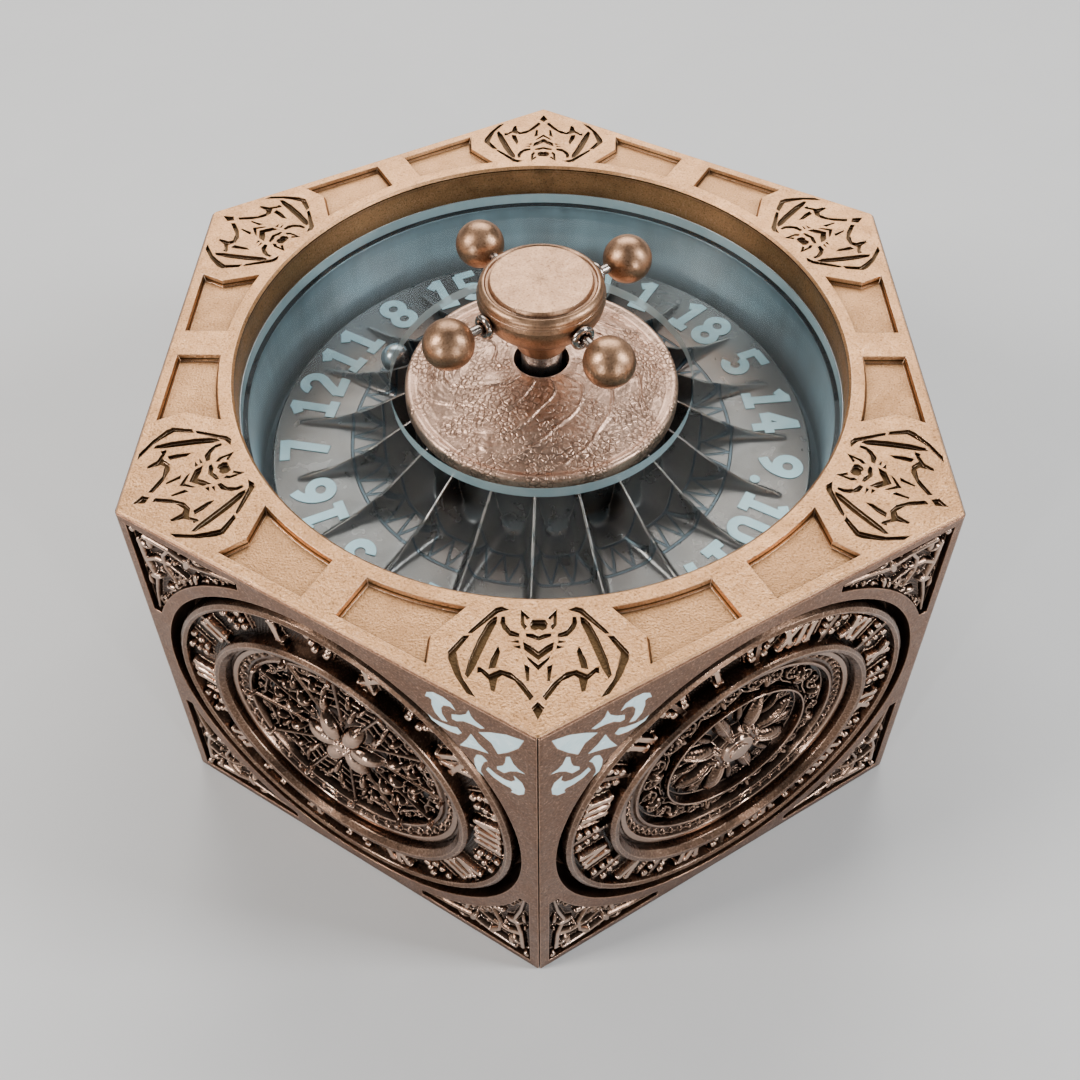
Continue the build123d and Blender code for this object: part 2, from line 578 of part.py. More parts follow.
def knob_body():
    """Bowl shaped hub: a narrow cone at the foot, then a round belly up to the cap."""
    bore = SPINDLE_RADIUS
    neck = 4.3
    shoulder = (4.9, 55.8)
    belly_top = (KNOB_RADIUS, KNOB_CAP_BOTTOM - 0.6)
    outline = [
        Polyline((bore, KNOB_FOOT), (bore + 0.5, KNOB_FOOT), (neck, 55.2), (neck, 55.6), shoulder),
        ThreePointArc(shoulder, (7.1, 58.0), belly_top),
        Polyline(belly_top, (KNOB_RADIUS - 0.15, KNOB_CAP_BOTTOM), (0, KNOB_CAP_BOTTOM), (0, SPINDLE_TOP),
                 (bore, SPINDLE_TOP), (bore, KNOB_FOOT)),
    ]
    body = revolve(make_face([Plane.XZ * line for line in outline]), Axis.Z)
    screw_hole = knob_screw_place() * cylinder(KNOB_SCREW_RADIUS, 0, KNOB_RADIUS + 1)
    arm_holes = [arm_place(n) * cylinder(ARM_RADIUS, ARM_START, KNOB_RADIUS + 1) for n in range(4)]
    return body - arm_holes - screw_hole


def arm_place(n):
    """Frame of one arm, its z along the arm."""
    return Pos(0, 0, ARM_HEIGHT) * Rot(0, 0, FIRST_ARM_ANGLE + 90 * n) * Rot(0, 90, 0)


def knob_screw_place():
    """Frame of the grub screw, its z outwards below one of the arms."""
    return Pos(0, 0, KNOB_SCREW_HEIGHT) * Rot(0, 90, 180 + FIRST_ARM_ANGLE)


def knob_cap():
    """Lid of the knob: a rounded rim and a raised disc inside a fine groove."""
    edge = KNOB_RADIUS - 0.25
    rim_top = KNOB_TOP - 0.35
    groove = KNOB_TOP - 0.6
    outline = [
        Polyline((0, KNOB_CAP_BOTTOM), (edge + 0.1, KNOB_CAP_BOTTOM), (edge, 61.2)),
        ThreePointArc((edge, 61.2), (7.1, 61.75), (6.7, rim_top)),
        Polyline((6.7, rim_top), (6.45, groove), (6.2, groove), (5.95, KNOB_TOP), (0, KNOB_TOP),
                 (0, KNOB_CAP_BOTTOM)),
    ]
    return revolve(make_face([Plane.XZ * line for line in outline]), Axis.Z)


def knob_arms():
    end = ARM_REACH - ARM_BALL_RADIUS + ARM_BORE_DEPTH
    return [arm_place(n) * cylinder(ARM_RADIUS, ARM_START, end) for n in range(4)]


def arm_collars():
    ring = Pos(0, 0, KNOB_RADIUS + 0.45) * Torus(1.15, 0.42)
    return [arm_place(n) * ring for n in range(4)]


def arm_balls():
    bore = cylinder(ARM_RADIUS, -ARM_BALL_RADIUS - 1, -ARM_BALL_RADIUS + ARM_BORE_DEPTH)
    ball = Pos(0, 0, ARM_REACH) * (Sphere(ARM_BALL_RADIUS) - bore)
    return [arm_place(n) * ball for n in range(4)]


def knob_screw():
    return knob_screw_place() * cylinder(KNOB_SCREW_RADIUS, SPINDLE_RADIUS, KNOB_SCREW_END)


def roulette_ball():
    angle = FIRST_FIN_ANGLE + POCKET_PITCH * (ROULETTE_BALL_POCKET + 0.5)
    height = WHEEL_TOP + ROULETTE_BALL_RADIUS + ROULETTE_BALL_CLEARANCE
    return Pos(*polar(ROULETTE_BALL_PLACE, angle, height)) * Sphere(ROULETTE_BALL_RADIUS)


def rotor_nodes():
    return {
        "wheel_disc": wheel_disc(),
        "wheel_numerals": wheel_numerals(),
        "pocket_crown": pocket_crown(),
        "centre_dome": centre_dome(),
        "spindle": spindle(),
        "rotor_nut": nut(NUT_ACROSS_FLATS, WHEEL_TOP, WHEEL_TOP + ROTOR_NUT_HEIGHT),
        "spindle_nut": nut(NUT_ACROSS_FLATS, SPINDLE_BOTTOM + 0.4, BEARING_TOP - BEARING_WIDTH),
        "bearing_inner_race": bearing_race(SPINDLE_RADIUS, INNER_RACE_RADIUS),
        "knob_body": knob_body(),
        "knob_cap": knob_cap(),
        "knob_arms": knob_arms(),
        "knob_screw": knob_screw(),
        "arm_collars": arm_collars(),
        "arm_balls": arm_balls(),
    }


def case_nodes():
    envelope = case_envelope()
    blank = panel_blank()
    gasket_bottom = WINDOW_BOTTOM - GASKET_THICKNESS
    clip_bore = BEARING_OUTER_RADIUS - CLIP_WIDTH
    nodes = {
        "top_plate": top_plate(),
        "base_plate": base_plate(),
        "corner_posts": corner_posts(),
        "base_screws": base_screws(),
        "corner_inlays": corner_inlay(1) + corner_inlay(2),
        "track_bowl": track_bowl(),
        "window": tube(WINDOW_RADIUS, WINDOW_HOLE_RADIUS, WINDOW_BOTTOM, WINDOW_TOP),
        "window_gasket": tube(WINDOW_RADIUS, BOWL_WALL_TOP_RADIUS, gasket_bottom, WINDOW_BOTTOM),
        "bearing_outer_race": bearing_race(OUTER_RACE_BORE, BEARING_OUTER_RADIUS),
        "bearing_clip": tube(BEARING_OUTER_RADIUS, clip_bore, BEARING_TOP, BEARING_TOP + 1.0),
        "dial_washers": [side_plane(angle) * dial_washer() for angle in SIDE_ANGLES],
    }
    for side in range(1, 7):
        nodes[f"side_panel_{side}"] = side_panel(side, blank, envelope)
    return nodes


def dial_nodes():
    nodes = {}
    for side, angle in enumerate(SIDE_ANGLES, start=1):
        face = side_plane(angle)
        nodes[f"dial_ring_{side}"] = face * dial_ring(side)
        nodes[f"dial_medallion_{side}"] = face * dial_medallion()
        nodes[f"dial_screw_{side}"] = face * dial_screw()
    return nodes


def main():
    os.makedirs("parts", exist_ok=True)
    nodes = {**case_nodes(), **rotor_nodes(), **dial_nodes()}
    nodes["bearing_balls"] = bearing_balls()
    nodes["bearing_cage"] = bearing_cage()
    nodes["roulette_ball"] = roulette_ball()
    for name, shape in nodes.items():
        pieces = shape if isinstance(shape, list) else [shape]
        solids = [solid for piece in pieces for solid in piece.solids()]
        node = solids[0] if len(solids) == 1 else Compound(children=solids)
        export_step(node, f"parts/{name}.step")


main()
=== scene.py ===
import json
import math

import bpy
import numpy as np
from mathutils import Matrix, Vector, noise


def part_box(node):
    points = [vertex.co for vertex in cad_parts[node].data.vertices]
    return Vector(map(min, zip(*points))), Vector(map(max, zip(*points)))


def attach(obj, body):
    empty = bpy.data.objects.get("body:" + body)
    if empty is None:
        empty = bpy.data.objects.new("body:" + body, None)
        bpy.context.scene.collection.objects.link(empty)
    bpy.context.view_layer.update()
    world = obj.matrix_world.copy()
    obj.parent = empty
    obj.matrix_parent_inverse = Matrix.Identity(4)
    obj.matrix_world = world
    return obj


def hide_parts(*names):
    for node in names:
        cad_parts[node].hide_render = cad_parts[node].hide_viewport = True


# The looks of the hexagonal desk roulette. Lengths in the design below are millimetres and are
# scaled to metres when a mesh is made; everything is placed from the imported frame.

MM = 0.001
SIDE_ANGLES = (-120, -60, 0, 60, 120, 180)
CELLS_ON_DIALS = (10, 12, 10, 12, 10, 12)

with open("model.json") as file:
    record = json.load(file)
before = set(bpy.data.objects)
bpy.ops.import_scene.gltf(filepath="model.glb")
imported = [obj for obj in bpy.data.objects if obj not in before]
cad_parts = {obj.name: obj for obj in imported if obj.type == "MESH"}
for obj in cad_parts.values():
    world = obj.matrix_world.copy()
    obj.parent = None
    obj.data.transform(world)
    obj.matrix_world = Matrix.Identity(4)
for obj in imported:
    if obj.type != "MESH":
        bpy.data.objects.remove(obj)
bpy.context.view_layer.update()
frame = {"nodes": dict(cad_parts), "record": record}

CASE_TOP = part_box("top_plate")[1].z / MM
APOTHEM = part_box("side_panel_3")[1].x / MM
SIDE_LENGTH = 2 * APOTHEM * math.tan(math.radians(30))
WHEEL_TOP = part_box("wheel_disc")[1].z / MM
WHEEL_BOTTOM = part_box("wheel_disc")[0].z / MM
WHEEL_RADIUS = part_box("wheel_disc")[1].x / MM
HUB_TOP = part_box("pocket_crown")[1].z / MM
DOME_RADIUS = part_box("centre_dome")[1].x / MM
DOME_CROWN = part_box("centre_dome")[1].z / MM

POCKETS = 20
FIRST_FIN_ANGLE = -2.3
HUB_RADIUS = 16.2
HUB_BORE = 11.0


# Node graphs

class Graph:
    """A material's node tree with short calls for the nodes used in this file."""

    def __init__(self, name):
        self.material = bpy.data.materials.new(name)
        self.material.use_nodes = True
        self.tree = self.material.node_tree
        self.tree.nodes.clear()
        self.coordinates = self.add("ShaderNodeTexCoord").outputs["Object"]

    def add(self, kind, inputs=None, **settings):
        node = self.tree.nodes.new(kind)
        for key, value in settings.items():
            setattr(node, key, value)
        for key, value in (inputs or {}).items():
            self.feed(node.inputs[key], value)
        return node

    def feed(self, socket, value):
        if isinstance(value, bpy.types.NodeSocket):
            self.tree.links.new(value, socket)
        else:
            socket.default_value = value

    def math(self, operation, a, b=0.0, c=0.0, clamp=False):
        return self.add("ShaderNodeMath", {0: a, 1: b, 2: c}, operation=operation, use_clamp=clamp).outputs[0]

    def noise(self, scale, detail=3.0, roughness=0.55, vector=None):
        inputs = {"Vector": vector or self.coordinates, "Scale": scale, "Detail": detail, "Roughness": roughness}
        return self.add("ShaderNodeTexNoise", inputs).outputs["Fac"]

    def cells(self, scale, feature="F1"):
        inputs = {"Vector": self.coordinates, "Scale": scale}
        return self.add("ShaderNodeTexVoronoi", inputs, feature=feature).outputs["Distance"]

    def stretched(self, factors):
        return self.add("ShaderNodeVectorMath", {0: self.coordinates, 1: factors}, operation="MULTIPLY").outputs[0]

    def remap(self, value, low, high, out_low=0.0, out_high=1.0):
        inputs = {"Value": value, "From Min": low, "From Max": high, "To Min": out_low, "To Max": out_high}
        return self.add("ShaderNodeMapRange", inputs, clamp=True).outputs["Result"]

    def mix(self, factor, a, b):
        node = self.add("ShaderNodeMix", data_type="RGBA")
        self.feed(node.inputs["Factor"], factor)
        self.feed(node.inputs[6], colour(a) if isinstance(a, tuple) else a)
        self.feed(node.inputs[7], colour(b) if isinstance(b, tuple) else b)
        return node.outputs[2]

    def part(self, axis):
        return self.add("ShaderNodeSeparateXYZ", {0: self.coordinates}).outputs[axis]

    def polar(self, around, out, up):
        """Coordinates wrapped round the Z axis: turns times around, radius times out, height times up."""
        x, y = self.part("X"), self.part("Y")
        squares = self.math("ADD", self.math("MULTIPLY", x, x), self.math("MULTIPLY", y, y))
        turn = self.math("MULTIPLY", self.math("ARCTAN2", y, x), around / (2 * math.pi))
        radius = self.math("MULTIPLY", self.math("SQRT", squares), out)
        height = self.math("MULTIPLY", self.part("Z"), up)
        return self.add("ShaderNodeCombineXYZ", {0: turn, 1: radius, 2: height}).outputs[0]

    def occlusion_shade(self, reach):
        """1 in tight recesses, 0 on open faces: an ambient occlusion mask that colours mix with as painted shade."""
        shade = self.add("ShaderNodeAmbientOcclusion", {"Distance": reach * MM}, samples=5).outputs["AO"]
        return self.remap(shade, 0.9, 0.35)

    def rounded_normal(self, radius):
        return self.add("ShaderNodeBevel", {"Radius": radius * MM}, samples=4).outputs[0]

    def edges(self, rounded):
        """1 along edges, where rubbed metal and a painted highlight go, 0 on flat faces."""
        plain = self.add("ShaderNodeNewGeometry").outputs["Normal"]
        match = self.add("ShaderNodeVectorMath", {0: rounded, 1: plain}, operation="DOT_PRODUCT").outputs["Value"]
        return self.remap(match, 0.995, 0.90)

    def bump(self, height, distance, strength=1.0, normal=None):
        inputs = {"Height": height, "Distance": distance * MM, "Strength": strength}
        if normal is not None:
            inputs["Normal"] = normal
        return self.add("ShaderNodeBump", inputs).outputs[0]

    def finish(self, shader):
        self.add("ShaderNodeOutputMaterial", {"Surface": shader})
        return self.material


def colour(rgb):
    return (*rgb, 1.0)


def aged_metal(name, base, dark, bright, grain=0.02, rough=(0.34, 0.5), edge_wear_and_highlight=0.8, reach=1.6,
               edge_radius=0.18, extra=None, polish_and_highlight=0.0, speckle=1.0):
    """Cast metal: sand-blasted grain, painted shade in recesses, edges both rubbed and given a painted highlight.

    extra(graph) returns a height from 0 to 1, the depth in millimetres that it is drawn with and how dark its low
    parts are (painted shade on reliefs, engravings and pebbles). polish_and_highlight is how bright its high parts are
    (a painted highlight on reliefs, the marks' own light tone on the bowl and knob), speckle how strong the colour of
    the grain is."""
    g = Graph(name)
    rounded = g.rounded_normal(edge_radius)
    worn_and_highlit_edge = g.math("MULTIPLY", g.edges(rounded), g.remap(g.noise(260.0), 0.3, 0.6, 0.35, 1.0))
    hollow_shade = g.occlusion_shade(reach)
    clouds = g.remap(g.noise(70.0, detail=4.0), 0.35, 0.68)
    specks = g.noise(4200.0, detail=2.0)
    shade = g.mix(g.math("MULTIPLY", clouds, 0.22), base, dark)
    shade = g.mix(g.remap(specks, 0.55, 0.8, 0.0, 0.5 * speckle), shade, bright)
    shade = g.mix(g.remap(specks, 0.45, 0.25, 0.0, 0.65 * speckle), shade, dark)
    # Painted shade: the colour is darkened in recesses by the occlusion mask.
    shade = g.mix(g.math("MULTIPLY", hollow_shade, 0.9), shade, dark)
    normal = g.bump(specks, grain, normal=rounded)
    normal = g.bump(g.noise(900.0), grain * 1.5, 0.6, normal=normal)
    if extra:
        height, depth, darkness = extra(g)
        # Painted shade in the low parts of reliefs, engravings and pebbles; on the bowl's and knob's marks it is their
        # own tone.
        shade = g.mix(g.remap(height, 0.7, 0.1, 0.0, darkness), shade, dark)
        if polish_and_highlight:
            # Painted highlight on the crests of reliefs; on the bowl's and knob's marks it is their own light tone.
            shade = g.mix(g.remap(height, 0.72, 1.0, 0.0, polish_and_highlight), shade, bright)
        if depth:
            normal = g.bump(height, depth, normal=normal)
    # Partly rubbed metal, partly a painted highlight: edges are lightened towards the bright colour.
    shade = g.mix(g.math("MULTIPLY", worn_and_highlit_edge, edge_wear_and_highlight), shade, bright)
    roughness = g.remap(g.noise(420.0), 0.3, 0.7, *rough)
    roughness = g.math("SUBTRACT", roughness, g.math("MULTIPLY", worn_and_highlit_edge, 0.1))
    inputs = {"Base Color": shade, "Metallic": 1.0, "Roughness": roughness, "Normal": normal}
    return g.finish(g.add("ShaderNodeBsdfPrincipled", inputs).outputs[0])


def relief_height(low, high):
    """Height of a relief between two levels in millimetres of its own frame."""
    def height(g):
        # Painted shade: the low parts of the relief are darkened nearly to black.
        return g.remap(g.math("DIVIDE", g.part("Z"), MM), low, high), 0.0, 0.97
    return height


def top_copper():
    def engraved_depth(g):
        """Bat floors nearly black, tray floors a little darker than the top: painted shade in the engravings."""
        below = g.math("SUBTRACT", CASE_TOP, g.math("DIVIDE", g.part("Z"), MM))
        bats = g.math("MULTIPLY", g.remap(below, 0.36, 0.42), g.remap(below, 0.62, 0.56))
        trays = g.math("MULTIPLY", g.remap(below, 0.62, 0.75, 0.0, 0.42), g.remap(below, 1.2, 1.0))
        return g.math("SUBTRACT", 1.0, g.math("MAXIMUM", bats, trays)), 0.0, 0.96
    return aged_metal("top_copper", (0.70, 0.37, 0.17), (0.07, 0.042, 0.02), (0.98, 0.66, 0.44),
                      grain=0.05, rough=(0.34, 0.48), reach=2.2, edge_radius=0.14, extra=engraved_depth)


def side_copper():
    # Painted shade: the sides are the same copper as the top, given a darker base because they face away from the
    # light.
    return aged_metal("side_copper", (0.21, 0.108, 0.064), (0.015, 0.009, 0.006), (0.80, 0.48, 0.33),
                      grain=0.035, rough=(0.3, 0.44), reach=1.6)


def base_copper():
    return aged_metal("base_copper", (0.36, 0.22, 0.15), (0.08, 0.05, 0.035), (0.7, 0.45, 0.32), grain=0.03)


def bowl_copper():
    def drawn_marks(g):
        return g.noise(1.0, detail=5.0, vector=g.polar(90.0, 60.0, 60.0)), 0.03, 0.3
    return aged_metal("bowl_copper", (0.66, 0.80, 0.87), (0.16, 0.20, 0.23), (0.80, 0.92, 0.97),
                      grain=0.004, rough=(0.46, 0.58), extra=drawn_marks, polish_and_highlight=0.4, speckle=0.1)


def truss_band(g):
    """Zigzag struts between two turned grooves, engraved round the wheel's floor."""
    x, y = g.part("X"), g.part("Y")
    squares = g.math("ADD", g.math("MULTIPLY", x, x), g.math("MULTIPLY", y, y))
    radius = g.math("DIVIDE", g.math("SQRT", squares), MM)
    turn = g.math("MULTIPLY", g.math("ARCTAN2", y, x), 60 / (2 * math.pi))
    across = g.math("PINGPONG", turn, 0.5)
    along = g.math("DIVIDE", g.math("SUBTRACT", radius, 20.4), 3.6 * 2)
    strut = g.math("ABSOLUTE", g.math("SUBTRACT", across, along))
    line = g.remap(strut, 0.05, 0.09)
    inside = g.math("MULTIPLY", g.remap(radius, 20.35, 20.4), g.remap(radius, 24.05, 24.0))
    strut_height = g.math("SUBTRACT", 1.0, g.math("MULTIPLY", inside, g.math("SUBTRACT", 1.0, line)))
    grooves = strut_height
    for place in (20.2, 24.2):
        gap = g.math("ABSOLUTE", g.math("SUBTRACT", radius, place))
        grooves = g.math("MINIMUM", grooves, g.remap(gap, 0.14, 0.24))
    # Painted shade: the grooves and the ground between the struts are darkened.
    return grooves, 0.18, 0.85


def wheel_copper():
    return aged_metal("wheel_copper", (0.17, 0.135, 0.12), (0.055, 0.072, 0.085), (0.95, 0.76, 0.66),
                      grain=0.02, rough=(0.24, 0.38), edge_wear_and_highlight=1.0, reach=3.0, extra=truss_band, speckle=0.2)


def pebbled_skin(g):
    """Small hammered pebbles that gather in patches."""
    pebbles = g.remap(g.cells(1500.0, "DISTANCE_TO_EDGE"), 0.02, 0.22)
    patches = g.remap(g.noise(190.0, detail=3.0), 0.42, 0.56)
    smooth = g.math("SUBTRACT", 1.0, patches)
    # Painted shade: the lines between the pebbles are darkened.
    return g.math("MAXIMUM", pebbles, smooth), 0.05, 0.55


def dome_copper():
    return aged_metal("dome_copper", (0.80, 0.52, 0.38), (0.10, 0.055, 0.035), (0.95, 0.70, 0.56),
                      grain=0.012, rough=(0.32, 0.46), reach=0.7, edge_radius=0.08, extra=pebbled_skin)


def knob_copper():
    def spun_scratches(g):
        return g.noise(1.0, detail=6.0, vector=g.polar(26.0, 260.0, 90.0)), 0.05, 0.55
    return aged_metal("knob_copper", (0.58, 0.34, 0.20), (0.08, 0.042, 0.027), (0.90, 0.60, 0.43),
                      grain=0.022, rough=(0.30, 0.44), extra=spun_scratches, polish_and_highlight=0.35)


# Painted shade: the dials, their bands and medallions and the corner filigree sit on the sides and get very dark bases
# like side_copper.
def dial_bronze():
    return aged_metal("dial_bronze", (0.19, 0.11, 0.072), (0.012, 0.008, 0.006), (0.80, 0.54, 0.40),
                      grain=0.014, rough=(0.2, 0.34), reach=2.0)


def band_bronze():
    return aged_metal("band_bronze", (0.24, 0.14, 0.095), (0.006, 0.004, 0.003), (0.90, 0.62, 0.46),
                      grain=0.008, rough=(0.1, 0.22), reach=0.9, extra=relief_height(-1.2, -0.5), polish_and_highlight=0.5)


def medallion_bronze():
    return aged_metal("medallion_bronze", (0.17, 0.10, 0.067), (0.006, 0.004, 0.0035), (0.90, 0.62, 0.47),
                      grain=0.008, rough=(0.1, 0.24), reach=1.4, extra=relief_height(-2.1, -0.6), polish_and_highlight=0.4)


def filigree_bronze():
    return aged_metal("filigree_bronze", (0.22, 0.13, 0.085), (0.005, 0.0035, 0.003), (0.90, 0.64, 0.50),
                      grain=0.008, rough=(0.12, 0.26), reach=1.0, extra=relief_height(-0.8, -0.1), polish_and_highlight=0.4)


def worn_nickel():
    return aged_metal("worn_nickel", (0.52, 0.45, 0.40), (0.14, 0.10, 0.08), (0.85, 0.78, 0.72),
                      grain=0.006, rough=(0.14, 0.26))


def plain_steel():
    return aged_metal("steel", (0.50, 0.51, 0.52), (0.12, 0.12, 0.12), (0.80, 0.80, 0.80),
                      grain=0.006, rough=(0.2, 0.34))


def cage_brass():
    return aged_metal("cage_brass", (0.72, 0.53, 0.25), (0.2, 0.13, 0.05), (0.9, 0.75, 0.45), grain=0.008)


def clear_window():
    """Clear sheet: its faces let light through, its cut edges glow pale cyan."""
    g = Graph("clear_window")
    upright = g.math("ABSOLUTE", g.add("ShaderNodeSeparateXYZ", {
        0: g.add("ShaderNodeNewGeometry").outputs["Normal"]}).outputs["Z"])
    cut_edge = g.remap(upright, 0.6, 0.3)
    scratches = g.noise(1.0, detail=4.0, vector=g.stretched((60.0, 700.0, 60.0)))
    normal = g.bump(scratches, 0.004)
    roughness = g.remap(g.noise(300.0), 0.4, 0.7, 0.02, 0.08)
    clear = g.add("ShaderNodeBsdfTransparent", {"Color": colour((0.93, 0.975, 0.985))}).outputs[0]
    gloss = g.add("ShaderNodeBsdfGlossy", {"Color": colour((1, 1, 1)), "Roughness": roughness,
                                           "Normal": normal}).outputs[0]
    grazing = g.add("ShaderNodeLayerWeight", {"Blend": 0.5, "Normal": normal}).outputs["Facing"]
    facing = g.math("ADD", g.math("MULTIPLY", g.math("POWER", grazing, 5.0), 0.5), 0.0035)
    face = g.add("ShaderNodeMixShader", {0: facing, 1: clear, 2: gloss}).outputs[0]
    milky = g.add("ShaderNodeBsdfPrincipled", {"Base Color": g.mix(g.noise(500.0), (0.50, 0.74, 0.80),
                                                                   (0.82, 0.95, 0.97)),
                                               "Roughness": 0.12, "Normal": normal}).outputs[0]
    edge = g.add("ShaderNodeMixShader", {0: 0.55, 1: clear, 2: milky}).outputs[0]
    return g.finish(g.add("ShaderNodeMixShader", {0: cut_edge, 1: face, 2: edge}).outputs[0])


def seal_rubber():
    g = Graph("seal_rubber")
    grain = g.noise(2500.0)
    inputs = {"Base Color": g.mix(grain, (0.02, 0.02, 0.022), (0.06, 0.06, 0.065)),
              "Roughness": g.remap(grain, 0.3, 0.7, 0.5, 0.75), "Normal": g.bump(grain, 0.02)}
    return g.finish(g.add("ShaderNodeBsdfPrincipled", inputs).outputs[0])


def pale_enamel():
    g = Graph("pale_enamel")
    rounded = g.rounded_normal(0.12)
    clouds = g.noise(350.0, detail=4.0)
    shade = g.mix(g.remap(clouds, 0.35, 0.65), (0.55, 0.78, 0.83), (0.70, 0.88, 0.91))
    # Painted shade: the enamel turns dark teal where the occlusion mask finds recesses.
    shade = g.mix(g.math("MULTIPLY", g.occlusion_shade(0.6), 0.5), shade, (0.10, 0.18, 0.20))
    inputs = {"Base Color": shade, "Roughness": g.remap(clouds, 0.3, 0.7, 0.16, 0.34),
              "Coat Weight": 0.3, "Normal": g.bump(g.noise(1600.0), 0.01, normal=rounded)}
    return g.finish(g.add("ShaderNodeBsdfPrincipled", inputs).outputs[0])


def floor_paint():
    g = Graph("floor_paint")
    grain = g.noise(60.0, detail=5.0)
    inputs = {"Base Color": g.mix(grain, (0.70, 0.70, 0.70), (0.76, 0.76, 0.755)),
              "Roughness": g.remap(grain, 0.3, 0.7, 0.6, 0.75), "Normal": g.bump(grain, 0.05)}
    return g.finish(g.add("ShaderNodeBsdfPrincipled", inputs).outputs[0])


MATERIALS = {
    "top_copper": top_copper(), "side_copper": side_copper(), "base_copper": base_copper(),
    "bowl_copper": bowl_copper(), "wheel_copper": wheel_copper(), "dome_copper": dome_copper(),
    "knob_copper": knob_copper(), "dial_bronze": dial_bronze(), "medallion_bronze": medallion_bronze(),
    "worn_nickel": worn_nickel(), "steel": plain_steel(), "cage_brass": cage_brass(),
    "clear_window": clear_window(), "seal_rubber": seal_rubber(), "pale_enamel": pale_enamel(),
}
RELIEF_MATERIALS = {"dial_band": band_bronze(), "filigree": filigree_bronze()}


def dress_cad_nodes():
    """Gives every CAD node the material of its slot."""
    for row in frame["record"]["subparts"]:
        mesh = frame["nodes"][row["node"]].data
        mesh.materials.clear()
        mesh.materials.append(MATERIALS[row["material_slot"]])


# Meshes from height maps

def make_piece(name, vertices, faces, slot, body, matrix=None, smooth_angle=35, material=None):
    """An object from points in millimetres, riding on a CAD body."""
    mesh = bpy.data.meshes.new(name)
    mesh.from_pydata((np.asarray(vertices) * MM).tolist(), [], faces)
    mesh.validate()
    mesh.materials.append(material or MATERIALS[slot])
    mesh.shade_smooth()
    mesh.set_sharp_from_angle(angle=math.radians(smooth_angle))
    return place_piece(name, mesh, body, matrix)


def place_piece(name, mesh, body, matrix=None):
    piece = bpy.data.objects.new(name, mesh)
    bpy.context.scene.collection.objects.link(piece)
    piece.matrix_world = matrix or Matrix.Identity(4)
    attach(piece, body)
    return piece


def grid_faces(rows, columns, closed=False, start=0):
    """Quads of a grid of points stored row by row; closed joins the last column to the first."""
    last = columns if closed else columns - 1
    faces = []
    for row in range(rows - 1):
        for column in range(last):
            beside = (column + 1) % columns
            a = start + row * columns
            faces.append((a + column, a + beside, a + columns + beside, a + columns + column))
    return faces


def turned_points(radii, angles, heights):
    """Points of a surface given by heights over a grid of radii and angles, both 1-D arrays."""
    around = np.radians(angles)[None, :]
    x = radii[:, None] * np.cos(around)
    y = radii[:, None] * np.sin(around)
    return np.stack([x, y, heights], axis=-1).reshape(-1, 3)


def side_matrix(angle):
    """The frame of one side face: x along the side, y up, z outwards."""
    a = math.radians(angle)
    out = Vector((math.cos(a), math.sin(a), 0))
    along = Vector((-math.sin(a), math.cos(a), 0))
    centre = out * APOTHEM + Vector((0, 0, CASE_TOP / 2))
    rows = [(along[n], (0, 0, 1)[n], out[n], centre[n] * MM) for n in range(3)]
    return Matrix((*rows, (0, 0, 0, 1)))


def beads_to_height(x, y, beads):
    """Height of a union of round beads (x, y, radius) over the points x, y."""
    height = np.zeros_like(x)
    for bead_x, bead_y, radius in beads:
        squares = radius ** 2 - (x - bead_x) ** 2 - (y - bead_y) ** 2
        height = np.maximum(height, np.sqrt(np.clip(squares, 0, None)))
    return height


def stroke(points, start_radius, end_radius, step=0.12):
    """Beads along a chain of points, with a radius that changes from one end to the other."""
    points = np.asarray(points, float)
    lengths = np.hypot(*np.diff(points, axis=0).T)
    reached = np.concatenate([[0], np.cumsum(lengths)])
    count = max(2, int(reached[-1] / step))
    places = np.linspace(0, reached[-1], count)
    x = np.interp(places, reached, points[:, 0])
    y = np.interp(places, reached, points[:, 1])
    radii = np.interp(places, [0, reached[-1]], [start_radius, end_radius])
    return list(zip(x, y, radii))


def volute(x, y, radius, start, turns, thick, thin=0.5):
    """Beads of a spiral about (x, y) that winds inwards from an angle, ending in a round eye."""
    steps = np.linspace(0, 1, 60)
    angles = np.radians(start + 360 * turns * steps)
    reach = radius * (1 - steps) ** 0.8 + thick * 0.6 * steps
    points = np.stack([x + reach * np.cos(angles), y + reach * np.sin(angles)], axis=-1)
    return stroke(points, thick, thick * thin) + [(x, y, thick * 0.95)]


def leaf(x, y, turn, length, width):
    """Beads of a pointed leaf that starts at (x, y)."""
    steps = np.linspace(0, 1, 14)
    a = math.radians(turn)
    radii = width * np.sin(np.pi * (0.12 + 0.86 * steps)) ** 0.8
    return [(x + length * s * math.cos(a), y + length * s * math.sin(a), r) for s, r in zip(steps, radii)]


# The wheel: pockets with flared fins round a plain hub

def fin_crest(radius):
    radii = (HUB_RADIUS, 17.7, 21.8, 26.5, 31.4)
    tops = (43.3, 42.4, 39.7, 37.6, WHEEL_TOP)
    return np.interp(radius, radii, tops)


